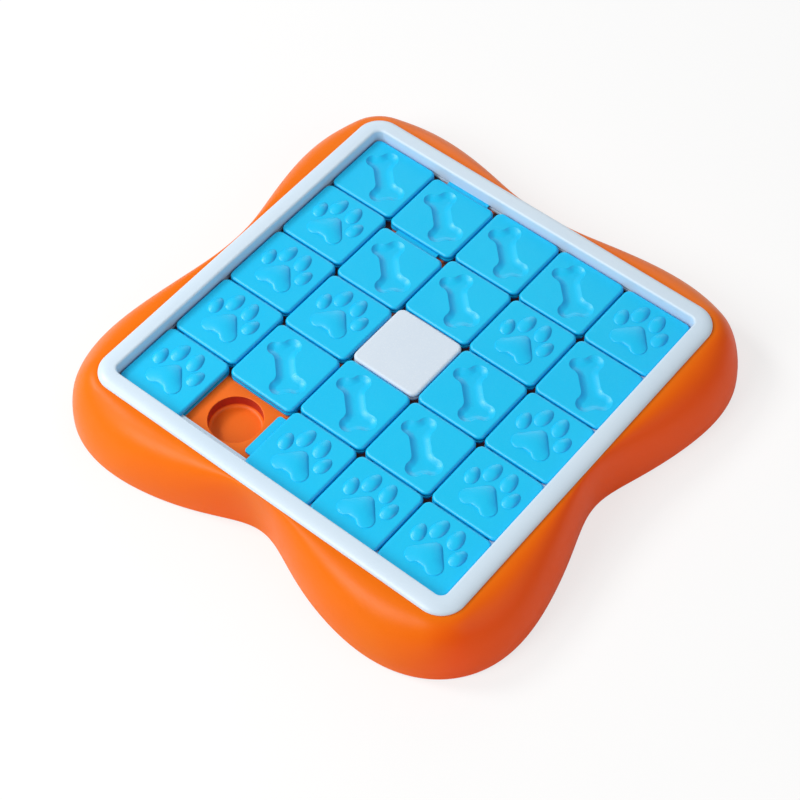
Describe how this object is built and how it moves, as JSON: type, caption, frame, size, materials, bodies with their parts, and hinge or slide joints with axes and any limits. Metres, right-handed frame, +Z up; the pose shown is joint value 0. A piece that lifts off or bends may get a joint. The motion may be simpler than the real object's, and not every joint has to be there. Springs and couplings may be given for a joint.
{
  "type": "dog puzzle feeder toy",
  "caption": "Low square puzzle feeder with a four-lobed skirt, a raised frame and interlocking sliding tiles that cover round treat wells, one cell left empty.",
  "frame": {"origin": "on the surface that the toy stands on, under the middle of the tile board", "axes": "+Z up; columns of tiles run along +X and rows along +Y, which the paw prints point to"},
  "size_m": [0.3356, 0.334, 0.0436],
  "materials": {
    "orange_shell": "smooth moulded plastic, semi-gloss",
    "orange_tray": "smooth moulded plastic, semi-gloss",
    "ice_white": "smooth moulded plastic, semi-gloss",
    "sky_blue": "fine-grained moulded plastic, satin",
    "rubber": "matt rubber",
    "steel": "zinc-plated steel"
  },
  "bodies": {
    "base": {"tray": "orange_tray", "frame": "ice_white", "centre_tile": "ice_white", "centre_screw": "steel", "frame_screws": "steel", "skirt_1": "orange_shell", "skirt_2": "orange_shell", "skirt_3": "orange_shell", "skirt_4": "orange_shell", "foot_1": "rubber", "foot_2": "rubber", "foot_3": "rubber", "foot_4": "rubber", "well_c1_r1": "orange_tray", "well_c2_r1": "orange_tray", "well_c3_r1": "orange_tray", "well_c4_r1": "orange_tray", "well_c5_r1": "orange_tray", "well_c1_r2": "orange_tray", "well_c2_r2": "orange_tray", "well_c3_r2": "orange_tray", "well_c4_r2": "orange_tray", "well_c5_r2": "orange_tray", "well_c1_r3": "orange_tray", "well_c2_r3": "orange_tray", "well_c4_r3": "orange_tray", "well_c5_r3": "orange_tray", "well_c1_r4": "orange_tray", "well_c2_r4": "orange_tray", "well_c3_r4": "orange_tray", "well_c4_r4": "orange_tray", "well_c5_r4": "orange_tray", "well_c1_r5": "orange_tray", "well_c2_r5": "orange_tray", "well_c3_r5": "orange_tray", "well_c4_r5": "orange_tray", "well_c5_r5": "orange_tray"},
    "tile_c1_r1": {"tile_c1_r1": "sky_blue"},
    "tile_c3_r1": {"tile_c3_r1": "sky_blue"},
    "tile_c4_r1": {"tile_c4_r1": "sky_blue"},
    "tile_c5_r1": {"tile_c5_r1": "sky_blue"},
    "tile_c1_r2": {"tile_c1_r2": "sky_blue"},
    "tile_c2_r2": {"tile_c2_r2": "sky_blue"},
    "tile_c3_r2": {"tile_c3_r2": "sky_blue"},
    "tile_c4_r2": {"tile_c4_r2": "sky_blue"},
    "tile_c5_r2": {"tile_c5_r2": "sky_blue"},
    "tile_c1_r3": {"tile_c1_r3": "sky_blue"},
    "tile_c2_r3": {"tile_c2_r3": "sky_blue"},
    "tile_c4_r3": {"tile_c4_r3": "sky_blue"},
    "tile_c5_r3": {"tile_c5_r3": "sky_blue"},
    "tile_c1_r4": {"tile_c1_r4": "sky_blue"},
    "tile_c2_r4": {"tile_c2_r4": "sky_blue"},
    "tile_c3_r4": {"tile_c3_r4": "sky_blue"},
    "tile_c4_r4": {"tile_c4_r4": "sky_blue"},
    "tile_c5_r4": {"tile_c5_r4": "sky_blue"},
    "tile_c1_r5": {"tile_c1_r5": "sky_blue"},
    "tile_c2_r5": {"tile_c2_r5": "sky_blue"},
    "tile_c3_r5": {"tile_c3_r5": "sky_blue"},
    "tile_c4_r5": {"tile_c4_r5": "sky_blue"},
    "tile_c5_r5": {"tile_c5_r5": "sky_blue"}
  },
  "joints": [
    {"name": "slide_c1_r1", "type": "slide", "parent": "base", "child": "tile_c1_r1", "axis": [1, 0, 0], "range_m": [-0.0004, 0.0004]},
    {"name": "slide_c3_r1", "type": "slide", "parent": "base", "child": "tile_c3_r1", "axis": [1, 0, 0], "range_m": [-0.0004, 0.0004]},
    {"name": "slide_c4_r1", "type": "slide", "parent": "base", "child": "tile_c4_r1", "axis": [1, 0, 0], "range_m": [-0.0004, 0.0004]},
    {"name": "slide_c5_r1", "type": "slide", "parent": "base", "child": "tile_c5_r1", "axis": [1, 0, 0], "range_m": [-0.0004, 0.0004]},
    {"name": "slide_c1_r2", "type": "slide", "parent": "base", "child": "tile_c1_r2", "axis": [1, 0, 0], "range_m": [-0.0004, 0.0004]},
    {"name": "slide_c2_r2", "type": "slide", "parent": "base", "child": "tile_c2_r2", "axis": [0, 1, 0], "range_m": [-0.0452, 0.0004]},
    {"name": "slide_c3_r2", "type": "slide", "parent": "base", "child": "tile_c3_r2", "axis": [1, 0, 0], "range_m": [-0.0004, 0.0004]},
    {"name": "slide_c4_r2", "type": "slide", "parent": "base", "child": "tile_c4_r2", "axis": [1, 0, 0], "range_m": [-0.0004, 0.0004]},
    {"name": "slide_c5_r2", "type": "slide", "parent": "base", "child": "tile_c5_r2", "axis": [1, 0, 0], "range_m": [-0.0004, 0.0004]},
    {"name": "slide_c1_r3", "type": "slide", "parent": "base", "child": "tile_c1_r3", "axis": [1, 0, 0], "range_m": [-0.0004, 0.0004]},
    {"name": "slide_c2_r3", "type": "slide", "parent": "base", "child": "tile_c2_r3", "axis": [0, 1, 0], "range_m": [-0.0004, 0.0004]},
    {"name": "slide_c4_r3", "type": "slide", "parent": "base", "child": "tile_c4_r3", "axis": [1, 0, 0], "range_m": [-0.0004, 0.0004]},
    {"name": "slide_c5_r3", "type": "slide", "parent": "base", "child": "tile_c5_r3", "axis": [1, 0, 0], "range_m": [-0.0004, 0.0004]},
    {"name": "slide_c1_r4", "type": "slide", "parent": "base", "child": "tile_c1_r4", "axis": [1, 0, 0], "range_m": [-0.0004, 0.0004]},
    {"name": "slide_c2_r4", "type": "slide", "parent": "base", "child": "tile_c2_r4", "axis": [0, 1, 0], "range_m": [-0.0004, 0.0026]},
    {"name": "slide_c3_r4", "type": "slide", "parent": "base", "child": "tile_c3_r4", "axis": [1, 0, 0], "range_m": [-0.0004, 0.0004]},
    {"name": "slide_c4_r4", "type": "slide", "parent": "base", "child": "tile_c4_r4", "axis": [1, 0, 0], "range_m": [-0.0004, 0.0004]},
    {"name": "slide_c5_r4", "type": "slide", "parent": "base", "child": "tile_c5_r4", "axis": [1, 0, 0], "range_m": [-0.0004, 0.0004]},
    {"name": "slide_c1_r5", "type": "slide", "parent": "base", "child": "tile_c1_r5", "axis": [1, 0, 0], "range_m": [-0.0004, 0.0004]},
    {"name": "slide_c2_r5", "type": "slide", "parent": "base", "child": "tile_c2_r5", "axis": [0, 1, 0], "range_m": [-0.0026, 0.0024]},
    {"name": "slide_c3_r5", "type": "slide", "parent": "base", "child": "tile_c3_r5", "axis": [1, 0, 0], "range_m": [-0.0004, 0.0004]},
    {"name": "slide_c4_r5", "type": "slide", "parent": "base", "child": "tile_c4_r5", "axis": [1, 0, 0], "range_m": [-0.0004, 0.0004]},
    {"name": "slide_c5_r5", "type": "slide", "parent": "base", "child": "tile_c5_r5", "axis": [1, 0, 0], "range_m": [-0.0004, 0.0004]}
  ]
}
